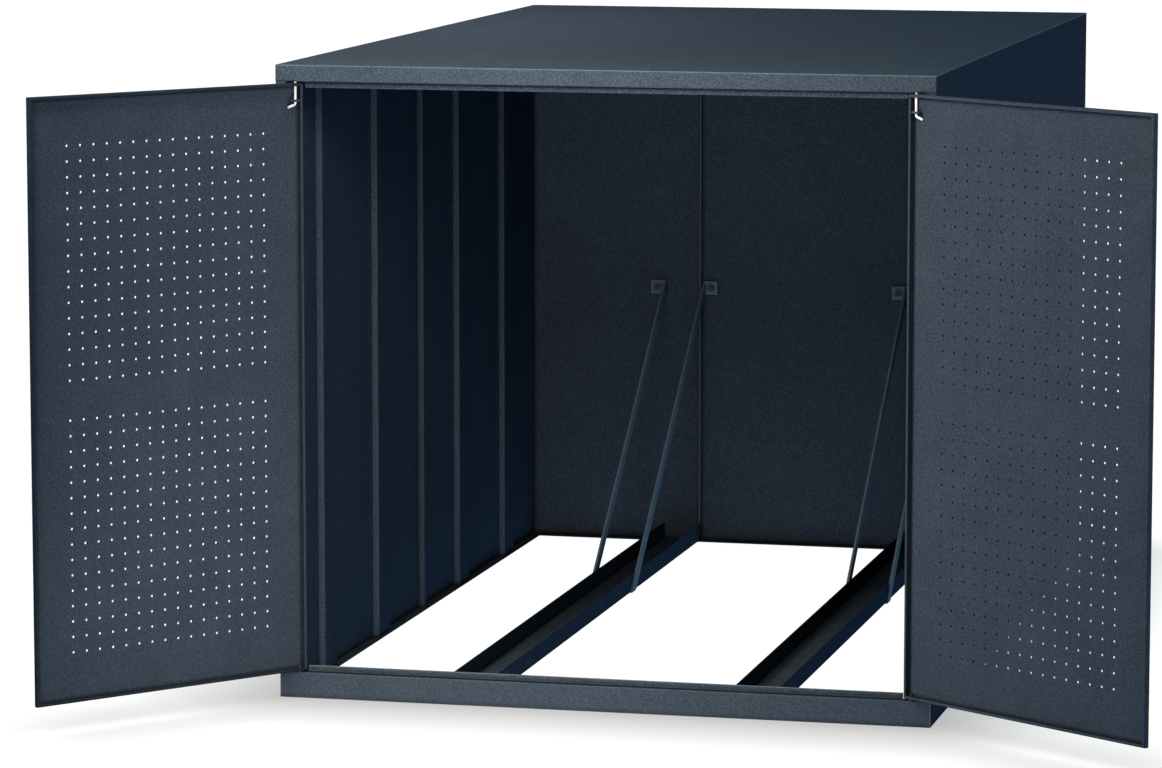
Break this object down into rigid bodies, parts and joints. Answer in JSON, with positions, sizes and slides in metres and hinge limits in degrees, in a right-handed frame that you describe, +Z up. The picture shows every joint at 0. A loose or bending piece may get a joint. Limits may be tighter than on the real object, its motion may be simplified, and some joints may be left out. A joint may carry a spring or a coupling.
{
  "type": "bicycle locker",
  "caption": "Free-standing folded sheet steel bicycle locker with two outward-opening leaves, low wheel channels and slanted wheel guide bars, open to the ground.",
  "frame": {"origin": "on the ground, at the middle of the four floor anchor holes and of the cabinet's footprint", "axes": "+X to the right seen from the doors, +Y to the rear, +Z up; the doors are at -Y"},
  "size_m": [2.1216, 2.538, 1.26],
  "materials": {
    "powder_coated_steel": "fine textured anthracite powder coat",
    "zinc_steel": "bright zinc plated"
  },
  "bodies": {
    "cabinet": {"front_header": "powder_coated_steel", "guide_tab_bolts": "powder_coated_steel", "left_pivot_stub": "zinc_steel", "left_pivot_washer": "zinc_steel", "left_rail_left_guide_bar": "powder_coated_steel", "left_rail_right_guide_bar": "powder_coated_steel", "left_wall_front_panel": "powder_coated_steel", "left_wall_joint_post": "powder_coated_steel", "left_wall_rear_panel": "powder_coated_steel", "left_wall_rib_1": "powder_coated_steel", "left_wall_rib_2": "powder_coated_steel", "left_wall_rib_3": "powder_coated_steel", "left_wall_rib_4": "powder_coated_steel", "left_wheel_rail": "powder_coated_steel", "rail_bolts": "zinc_steel", "rear_wall_left_panel": "powder_coated_steel", "rear_wall_middle_panel": "powder_coated_steel", "rear_wall_right_panel": "powder_coated_steel", "right_pivot_stub": "zinc_steel", "right_pivot_washer": "zinc_steel", "right_rail_left_guide_bar": "powder_coated_steel", "right_rail_right_guide_bar": "powder_coated_steel", "right_wall_front_panel": "powder_coated_steel", "right_wall_joint_post": "powder_coated_steel", "right_wall_rear_panel": "powder_coated_steel", "right_wall_rib_1": "powder_coated_steel", "right_wall_rib_2": "powder_coated_steel", "right_wall_rib_3": "powder_coated_steel", "right_wall_rib_4": "powder_coated_steel", "right_wheel_rail": "powder_coated_steel", "roof_panel": "powder_coated_steel", "roof_rib_1": "powder_coated_steel", "roof_rib_2": "powder_coated_steel", "roof_rib_3": "powder_coated_steel", "roof_rib_4": "powder_coated_steel", "threshold": "powder_coated_steel"},
    "left_door": {"left_door_leaf": "powder_coated_steel", "left_hinge_lug": "powder_coated_steel", "staple": "powder_coated_steel"},
    "right_door": {"right_door_leaf": "powder_coated_steel", "right_hinge_lug": "powder_coated_steel", "hasp_plate": "powder_coated_steel", "hasp_pin": "zinc_steel"},
    "left_hinge_pin": {"left_hinge_pin": "zinc_steel"},
    "right_hinge_pin": {"right_hinge_pin": "zinc_steel"},
    "hasp_strap": {"hasp_strap": "powder_coated_steel"}
  },
  "joints": [
    {"name": "left_door_hinge", "type": "hinge", "parent": "cabinet", "child": "left_door", "pos_m": [-0.616, -1.025, 0.64], "axis": [0, 0, 1], "range_deg": [-17.4, 128.6]},
    {"name": "right_door_hinge", "type": "hinge", "parent": "cabinet", "child": "right_door", "pos_m": [0.616, -1.025, 0.64], "axis": [0, 0, -1], "range_deg": [-1, 145]},
    {"name": "left_pin_drop", "type": "slide", "parent": "left_door", "child": "left_hinge_pin", "axis": [0, 0, -1], "range_m": [0, 0.012]},
    {"name": "right_pin_drop", "type": "slide", "parent": "right_door", "child": "right_hinge_pin", "axis": [0, 0, -1], "range_m": [0, 0.012]},
    {"name": "hasp_fold", "type": "hinge", "parent": "right_door", "child": "hasp_strap", "pos_m": [1.11114, -1.36132, 0.6395], "axis": [0, 0, -1], "range_deg": [0, 180]}
  ]
}
